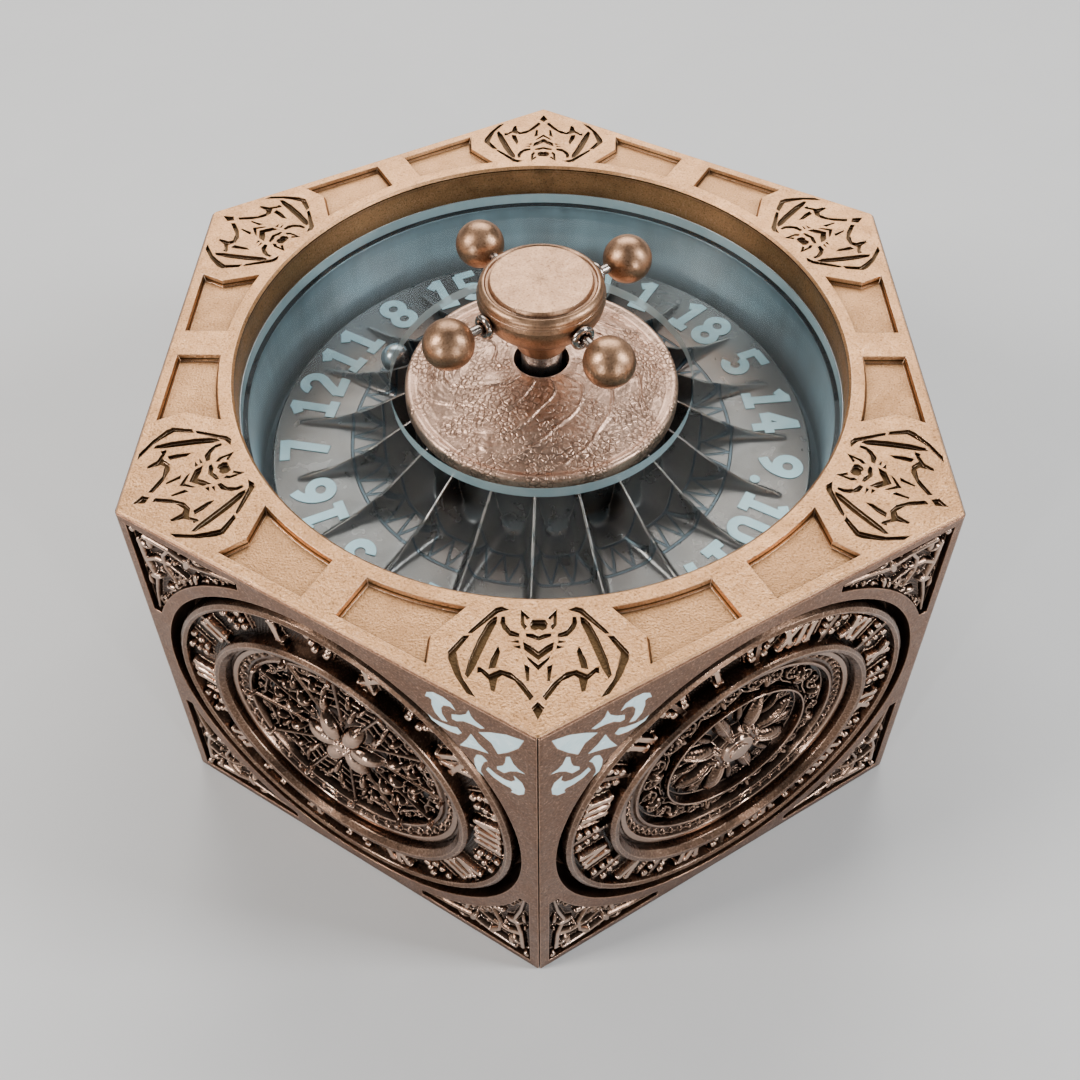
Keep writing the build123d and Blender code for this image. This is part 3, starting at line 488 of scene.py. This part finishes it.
def wheel_top():
    """Hub, fins that thin out upwards from a wide foot, and the floor between them, as one casting."""
    pitch = 360 / POCKETS
    near = np.array([0, 0.2, 0.42, 0.62, 0.85, 1.15, 1.5, 1.9, 2.4, 3.0, 3.8, 4.8, 6.0, 7.4])
    one_pocket = np.concatenate([near, pitch - near[:0:-1]])
    one_pocket = np.insert(one_pocket, len(near), pitch / 2)
    angles = np.concatenate([FIRST_FIN_ANGLE + pitch * n + one_pocket for n in range(POCKETS)])
    radii = np.concatenate([[HUB_BORE, HUB_RADIUS - 0.35, HUB_RADIUS - 0.1, HUB_RADIUS],
                            np.linspace(HUB_RADIUS + 0.02, 31.6, 90), [33.0, WHEEL_RADIUS - 0.3, WHEEL_RADIUS]])
    from_fin = np.abs((angles - FIRST_FIN_ANGLE + pitch / 2) % pitch - pitch / 2)
    sideways = np.radians(from_fin)[None, :] * radii[:, None]
    height = np.clip(fin_crest(radii) - WHEEL_TOP, 0, None)[:, None]
    flare = 0.55 + 0.18 * height
    thinning = np.clip(1 - (sideways - 0.16) / (flare * 2.2), 0, 1)
    shape = np.where(sideways < 0.16, 1.0, thinning ** 5)
    crest_round = 0.12 * np.clip(1 - sideways / 0.3, 0, 1)
    heights = WHEEL_TOP + height * shape + crest_round * (height > 0.05)
    foot = np.clip(1 - (radii - HUB_RADIUS) / 1.3, 0, 1)[:, None] ** 2
    heights = np.maximum(heights, WHEEL_TOP + 2.2 * foot)
    heights[:2] = HUB_TOP
    heights[2] = HUB_TOP - 0.08
    heights[3] = HUB_TOP - 0.35
    heights[-1] = WHEEL_TOP - 0.3
    top = turned_points(radii, angles, heights)
    under_radii = np.array([WHEEL_RADIUS, HUB_BORE])
    under = turned_points(under_radii, angles, np.full((2, len(angles)), WHEEL_BOTTOM))
    columns = len(angles)
    vertices = np.concatenate([top, under])
    faces = grid_faces(len(radii) + 2, columns, closed=True)
    last = (len(radii) + 1) * columns
    faces += [(last + c, last + (c + 1) % columns, (c + 1) % columns, c) for c in range(columns)]
    wheel = make_piece("wheel_casting", vertices, faces, "wheel_copper", "rotor")
    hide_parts("pocket_crown", "wheel_disc")


# The centre dome with its embossed skin

def dome_profile(radius):
    """Height of the plain dome at a radius."""
    inner = 3.4
    share = np.clip((radius - inner) / (DOME_RADIUS - 1.5 - inner), 0, 1)
    return DOME_CROWN - (DOME_CROWN - 46.2) * share ** 1.75


def emboss(x, y):
    """Height of the hammered skin with leaf-like ridges at one point of the dome."""
    point = Vector((x, y, 0))
    warp = noise.noise_vector(point * 0.16) * 2.6
    bent = point + warp
    pebbles = noise.voronoi(bent * 1.15)[0]
    cells = min(1.0, (pebbles[1] - pebbles[0]) * 2.2)
    swirl = math.atan2(bent.y, bent.x) * 5 + bent.length * 0.62
    ridge = max(0.0, 1 - abs(math.sin(swirl)) / 0.16)
    veins = max(0.0, 1 - abs(math.sin(swirl * 3 + bent.length * 1.6)) / 0.3) * 0.35
    mask = noise.noise(point * 0.22 + Vector((7, 3, 1)))
    return 0.10 * cells * (0.45 + mask) + 0.24 * ridge + 0.13 * veins + 0.05 * noise.fractal(bent, 0.8, 2.1, 4)


def centre_dome():
    radii = np.concatenate([np.linspace(3.4, DOME_RADIUS - 1.4, 120), [DOME_RADIUS - 1.2, DOME_RADIUS - 0.8,
                            DOME_RADIUS - 0.5, DOME_RADIUS - 0.15, DOME_RADIUS]])
    angles = np.arange(0, 360, 0.8)
    heights = np.repeat(dome_profile(radii)[:, None], len(angles), axis=1)
    fade = np.clip(np.minimum((radii - 3.6) / 1.0, (DOME_RADIUS - 1.6 - radii) / 1.0), 0, 1)
    for row, radius in enumerate(radii):
        if fade[row] > 0:
            for column, angle in enumerate(np.radians(angles)):
                skin = emboss(radius * math.cos(angle), radius * math.sin(angle))
                heights[row, column] += fade[row] * (skin - 0.22)
    edge_top = 46.2
    heights[-5:] = np.array([edge_top, edge_top + 0.28, edge_top + 0.3, edge_top + 0.12, edge_top - 0.3])[:, None]
    rings = [(DOME_RADIUS, HUB_TOP), (HUB_BORE, HUB_TOP), (HUB_BORE, HUB_TOP - 1.5), (10.6, HUB_TOP - 1.5),
             (10.6, HUB_TOP + 0.2), (3.4, DOME_CROWN - 2.2)]
    lower = [turned_points(np.array([r]), angles, np.full((1, len(angles)), z)) for r, z in rings]
    vertices = np.concatenate([turned_points(radii, angles, heights), *lower])
    columns = len(angles)
    faces = grid_faces(len(radii) + len(rings), columns, closed=True)
    last = (len(radii) + len(rings) - 1) * columns
    faces += [(last + c, last + (c + 1) % columns, (c + 1) % columns, c) for c in range(columns)]
    dome = make_piece("embossed_dome", vertices, faces, "dome_copper", "rotor", smooth_angle=60)
    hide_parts("centre_dome")


# Side dials

def roman(number):
    tens = {0: "", 1: "X"}[number // 10]
    units = ("", "I", "II", "III", "IV", "V", "VI", "VII", "VIII", "IX")[number % 10]
    return tens + units


LETTER_STROKES = {
    "I": (1.25, [[(0, -1), (0, 1)], [(-0.35, -1), (0.35, -1)], [(-0.35, 1), (0.35, 1)]]),
    "V": (2.3, [[(-0.7, 1), (0, -1)], [(0, -1), (0.7, 1)], [(-1.0, 1), (-0.4, 1)], [(0.4, 1), (1.0, 1)]]),
    "X": (2.3, [[(-0.7, 1), (0.7, -1)], [(-0.7, -1), (0.7, 1)], [(-1.0, 1), (-0.4, 1)], [(0.4, 1), (1.0, 1)],
                [(-1.0, -1), (-0.4, -1)], [(0.4, -1), (1.0, -1)]]),
}


def roman_beads(text, room, half_height):
    """Beads of a Roman numeral centred on the origin and squeezed into the room that a cell has."""
    widths = [LETTER_STROKES[letter][0] for letter in text]
    squeeze = min(1.0, room / sum(widths))
    beads = []
    left = -sum(widths) / 2
    for letter, width in zip(text, widths):
        middle = left + width / 2
        for line in LETTER_STROKES[letter][1]:
            points = [((middle + px) * squeeze, py * half_height) for px, py in line]
            thick = 0.40 if abs(line[0][1] - line[1][1]) > 0.5 else 0.28
            beads += stroke(points, thick, thick, step=0.09)
        left += width
    return beads


BAND_INNER = 17.3
BAND_OUTER = 21.6
BAND_FLOOR = -1.15


def dial_band(cells):
    """Relief of a dial's numbered band: a Roman numeral in every cell, between small scrolls."""
    per_cell = 150
    radii = np.linspace(BAND_INNER, BAND_OUTER, 44)
    columns = per_cell * cells
    pitch = 360 / cells
    heights = np.zeros((len(radii), columns))
    middle = (BAND_INNER + BAND_OUTER) / 2
    local = np.radians((np.arange(per_cell) / per_cell - 0.5) * pitch)
    x = -np.sin(local)[None, :] * radii[:, None]
    y = np.cos(local)[None, :] * radii[:, None] - middle
    half_cell = math.radians(pitch / 2) * middle
    trim = []
    for side in (-1, 1):
        place = side * (half_cell - 0.95)
        trim += [(place, 1.05, 0.5), (place, -0.1, 0.42), (place, -1.15, 0.5)]
        trim += stroke([(place - side * 0.75, 1.5), (place - side * 0.75, -1.5)], 0.16, 0.16)
    trim_height = beads_to_height(x, y, trim)
    for cell in range(cells):
        letters = roman_beads(roman(cell + 1), 2 * half_cell - 4.0, 1.42)
        both = np.maximum(beads_to_height(x, y, letters) * 3.4, trim_height * 2.4)
        heights[:, cell * per_cell:(cell + 1) * per_cell] = np.minimum(both, 0.85)
    angles = 90 + pitch * (np.arange(columns) / per_cell)
    lattice = 0.06 * np.sin(np.radians(angles) * 220)[None, :] * np.sin(radii * 9)[:, None]
    heights = BAND_FLOOR + heights + lattice * (heights < 0.05)
    heights[:2] = heights[-2:] = BAND_FLOOR
    return turned_points(radii, angles, heights), grid_faces(len(radii), columns, closed=True)


def tiled_rosette(fold, radii, beads, per_sector=96):
    """Heights of a design that repeats round a centre; it is drawn about the +Y direction."""
    local = np.radians((np.arange(per_sector) / per_sector - 0.5) * 360 / fold)
    x = -np.sin(local)[None, :] * radii[:, None]
    y = np.cos(local)[None, :] * radii[:, None]
    return np.tile(beads_to_height(x, y, beads), (1, fold))


def medallion_rings(radii, floor):
    """Stepped rings round the rim of a medallion, over the floor of its field."""
    rim_radii = (0, 12.7, 13.0, 13.3, 13.6, 13.9, 14.6, 14.8, 15.4, 15.5, 15.9)
    rim_tops = (floor, floor, -1.0, -1.0, -1.35, -1.35, -1.3, -0.75, -0.7, -0.95, -0.95)
    return np.interp(radii, rim_radii, rim_tops)


def stud_row(radii, per_sector, size):
    """A ring of round studs on the rim of a medallion."""
    beads = []
    for n in range(per_sector):
        a = math.radians(90 + (n - (per_sector - 1) / 2) * 30 / per_sector)
        beads.append((14.25 * math.cos(a), 14.25 * math.sin(a), size))
    return tiled_rosette(12, radii, beads)


def web_medallion():
    """Radial threads with hanging arcs and small leaves between them, round a boss with three lobes."""
    radii = np.linspace(0.05, 15.85, 180)
    floor = -2.1
    beads = []
    for side in (-1, 1):
        a = math.radians(90 + side * 15)
        beads += stroke([(4.6 * math.cos(a), 4.6 * math.sin(a)), (13.1 * math.cos(a), 13.1 * math.sin(a))], 0.26, 0.34)
        beads += volute(side * 1.35, 11.9, 0.8, 200 if side < 0 else -20, -side * 1.2, 0.27)
        beads += leaf(side * 0.35, 8.6, 90 - side * 28, 2.0, 0.42)
    for reach in (6.6, 8.0, 9.6, 11.3):
        arc = []
        for step in np.linspace(-1, 1, 9):
            a = math.radians(90 + 15 * step)
            r = reach + 0.75 * step * step
            arc.append((r * math.cos(a), r * math.sin(a)))
        beads += stroke(arc, 0.2, 0.2)
    beads += leaf(0, 6.0, 90, 2.6, 0.5)
    relief = tiled_rosette(12, radii, beads)
    petals = leaf(0, 1.1, 90, 4.3, 1.25) + stroke([(0, 2.0), (0, 4.4)], 0.22, 0.12)
    boss = tiled_rosette(6, radii, petals, per_sector=192)
    between = [(0, 4.9, 0.5), (0, 3.9, 0.4)]
    boss = np.maximum(boss, np.roll(tiled_rosette(6, radii, between, per_sector=192), 96, axis=1))
    mound = 0.7 * np.sqrt(np.clip(1 - (radii / 5.6) ** 2, 0, 1))[:, None]
    eye = np.sqrt(np.clip(1.1 ** 2 - radii ** 2, 0, None))[:, None]
    heights = medallion_rings(radii, floor)[:, None] + relief * 2.9
    heights = np.minimum(heights + stud_row(radii, 4, 0.42) * 1.2, -0.35)
    return radii, np.maximum(heights, floor + mound + np.minimum(boss * 0.95 + eye * 0.9, 1.85))


def leaf_medallion():
    """A scrolled ring and a plain ring round broad leaves and a stepped boss."""
    radii = np.linspace(0.05, 15.85, 180)
    floor = -2.1
    beads = []
    for side in (-1, 1):
        beads += volute(side * 1.55, 11.3, 1.05, 180 if side > 0 else 0, side * 1.5, 0.3)
        beads += stroke([(side * 0.5, 9.9), (side * 1.9, 9.75), (side * 2.9, 10.2)], 0.26, 0.14)
    beads += leaf(0, 10.0, 90, 2.4, 0.46)
    scrolls = tiled_rosette(12, radii, beads)
    blades = leaf(0, 2.9, 90, 5.4, 1.05)
    veins = stroke([(0, 3.2), (0, 8.3)], 0.16, 0.1)
    between = []
    for side in (-1, 1):
        a = math.radians(90 + side * 22.5)
        between += leaf(4.6 * math.cos(a), 4.6 * math.sin(a), 90 + side * 22.5, 3.9, 0.5)
        between += volute(side * 1.75, 7.6, 0.62, 90, side * 1.1, 0.2)
    star = tiled_rosette(8, radii, blades, per_sector=144)
    star = np.maximum(star * 1.0, tiled_rosette(8, radii, between, per_sector=144) * 1.5)
    star = star + tiled_rosette(8, radii, veins, per_sector=144) * 1.6
    ring = np.interp(radii, (8.95, 9.1, 9.35, 9.5), (0, 1.25, 1.25, 0))
    steps = np.interp(radii, (0, 1.2, 1.3, 2.0, 2.2, 2.8, 3.1, 3.5), (1.85, 1.8, 1.5, 1.45, 1.0, 0.95, 0.4, 0))
    heights = (medallion_rings(radii, floor) + ring + steps)[:, None]
    heights = heights + scrolls * 2.8 + star * 1.15 + stud_row(radii, 5, 0.36) * 1.2
    return radii, np.minimum(heights, -0.25)


def medallion_mesh(radii, heights):
    """Closed body of a medallion: its relief, its wall and its flat back."""
    back = -2.35
    columns = heights.shape[1]
    angles = 90 + 360 * np.arange(columns) / columns
    top = turned_points(radii, angles, heights)
    wall = turned_points(np.array([15.9, 15.9, 0.05]), angles,
                         np.repeat([[-0.95], [back], [back]], columns, axis=1))
    vertices = np.concatenate([top, wall])
    faces = grid_faces(len(radii) + 3, columns, closed=True)
    faces.append(tuple(range(columns - 1, -1, -1)))
    last = (len(radii) + 2) * columns
    faces.append(tuple(last + n for n in range(columns)))
    return vertices, faces


def side_dials():
    bands = {}
    fields = {}
    designs = {10: web_medallion, 12: leaf_medallion}
    for side, angle in enumerate(SIDE_ANGLES, start=1):
        cells = CELLS_ON_DIALS[side - 1]
        body = f"dial_{side}"
        matrix = side_matrix(angle)
        if cells not in bands:
            band = make_piece(f"dial_band_{side}", *dial_band(cells), "dial_bronze", body, matrix,
                              material=RELIEF_MATERIALS["dial_band"])
            field = make_piece(f"medallion_relief_{side}", *medallion_mesh(*designs[cells]()), "medallion_bronze",
                               body, matrix)
            bands[cells] = band.data
            fields[cells] = field.data
        else:
            place_piece(f"dial_band_{side}", bands[cells], body, matrix)
            field = place_piece(f"medallion_relief_{side}", fields[cells], body, matrix)
        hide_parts(f"dial_medallion_{side}")


# Filigree in the sunk corners of the sides

def filigree_beads():
    """Scrolls for an upper right corner, drawn below the corner's diagonal and mirrored over it."""
    half = volute(20.2, 14.6, 1.55, 60, 1.4, 0.42)
    half += volute(22.6, 11.9, 1.05, 100, 1.3, 0.34)
    half += volute(19.0, 18.0, 1.2, -60, -1.2, 0.38)
    half += stroke([(23.9, 10.2), (23.4, 13.4), (22.6, 16.4), (23.4, 19.2), (23.6, 22.6)], 0.3, 0.42)
    half += stroke([(17.6, 19.6), (19.6, 20.6), (21.8, 20.4), (23.2, 19.4)], 0.3, 0.4)
    half += leaf(21.6, 17.2, -20, 2.4, 0.5)
    half += leaf(20.6, 12.9, -60, 2.0, 0.42)
    half += leaf(24.0, 16.2, -100, 2.2, 0.36)
    half += leaf(22.0, 21.9, 10, 1.9, 0.42)
    half += [(24.1, 24.1, 0.5), (21.3, 18.9, 0.34), (23.9, 17.7, 0.3), (18.2, 16.4, 0.3), (21.9, 13.4, 0.26)]
    return half + [(y, x, radius) for x, y, radius in half]


SPANDREL = {"start": 9.5, "edge": 24.7, "arc": 25.4, "depth": 0.8}


def filigree_mesh():
    """Relief over the floor of a sunk corner, kept inside the corner's outline."""
    across = np.linspace(SPANDREL["start"], SPANDREL["edge"], 190)
    x, y = np.meshgrid(across, across)
    raised = beads_to_height(x, y, filigree_beads()) * 1.9
    inside = np.hypot(x, y) - SPANDREL["arc"]
    room = np.minimum(np.minimum(SPANDREL["edge"] - x, SPANDREL["edge"] - y), inside)
    rise = np.minimum(raised, SPANDREL["depth"] - 0.06) * np.clip(room / 0.12, 0, 1)
    stipple = 0.05 * np.sin(x * 14) * np.sin(y * 14) * (raised < 0.05)
    heights = -SPANDREL["depth"] + 0.01 + rise + stipple * (room > 0.2)
    keep = inside > -0.1
    number = -np.ones(x.shape, int)
    corners = keep[:-1, :-1] & keep[1:, :-1] & keep[:-1, 1:] & keep[1:, 1:]
    used = np.zeros(x.shape, bool)
    for down in (0, 1):
        for right in (0, 1):
            used[down:used.shape[0] - 1 + down, right:used.shape[1] - 1 + right] |= corners
    number[used] = np.arange(used.sum())
    vertices = np.stack([x[used], y[used], heights[used]], axis=-1)
    faces = [(number[r, c], number[r, c + 1], number[r + 1, c + 1], number[r + 1, c])
             for r, c in zip(*np.nonzero(corners))]
    return vertices, [tuple(int(n) for n in face) for face in faces]


def filigree():
    plain = None
    for side, angle in enumerate(SIDE_ANGLES, start=1):
        inlay_corner = {1: 0, 2: 90}.get(side)
        for quarter in (0, 90, 180, 270):
            if quarter == inlay_corner:
                continue
            matrix = side_matrix(angle) @ Matrix.Rotation(math.radians(quarter), 4, "Z")
            name = f"filigree_{side}_{quarter}"
            if plain is None:
                plain = make_piece(name, *filigree_mesh(), "medallion_bronze", "case", matrix,
                                   material=RELIEF_MATERIALS["filigree"]).data
            else:
                place_piece(name, plain, "case", matrix)


# Studio

def add_floor():
    size = 1.6
    mesh = bpy.data.meshes.new("floor")
    mesh.from_pydata([(-size, -size, 0), (size, -size, 0), (size, size, 0), (-size, size, 0)], [], [(0, 1, 2, 3)])
    mesh.materials.append(floor_paint())
    floor = bpy.data.objects.new("floor", mesh)
    bpy.context.scene.collection.objects.link(floor)


def add_light(name, place, aim, size, power, tint=(1, 1, 1)):
    data = bpy.data.lights.new(name, "AREA")
    data.shape = "RECTANGLE"
    data.size, data.size_y = size
    data.energy = power
    data.color = tint
    light = bpy.data.objects.new(name, data)
    light.location = place
    light.rotation_euler = (Vector(aim) - Vector(place)).to_track_quat("-Z", "Y").to_euler()
    bpy.context.scene.collection.objects.link(light)


def add_lights():
    world = bpy.data.worlds.new("studio")
    world.use_nodes = True
    background = world.node_tree.nodes["Background"]
    background.inputs["Color"].default_value = (0.60, 0.62, 0.64, 1)
    background.inputs["Strength"].default_value = 0.3
    bpy.context.scene.world = world
    middle = (0, 0, 0.04)
    add_light("back_panel", (0.0, 0.80, 0.78), middle, (1.1, 0.7), 11.0, (1.0, 0.985, 0.96))
    add_light("left_panel", (-0.50, -0.16, 0.42), middle, (0.14, 0.30), 3.2, (1.0, 0.96, 0.92))
    add_light("right_panel", (0.52, -0.10, 0.38), middle, (0.12, 0.30), 2.7, (0.96, 0.98, 1.0))
    add_light("left_strip", (-0.36, -0.52, 0.13), middle, (0.02, 0.22), 1.0)
    add_light("right_strip", (0.38, -0.50, 0.12), middle, (0.02, 0.22), 1.0)


def add_camera():
    data = bpy.data.cameras.new("camera")
    data.sensor_width = 36
    data.lens = 42.23
    data.shift_x = -0.0052
    data.shift_y = -0.2204
    data.clip_start = 0.01
    camera = bpy.data.objects.new("camera", data)
    camera.location = (0.00097, -0.1113, 0.15706)
    camera.rotation_euler = (math.radians(48.526), 0, math.radians(0.241))
    bpy.context.scene.collection.objects.link(camera)
    bpy.context.scene.camera = camera


dress_cad_nodes()
wheel_top()
centre_dome()
side_dials()
filigree()
add_floor()
add_lights()
add_camera()
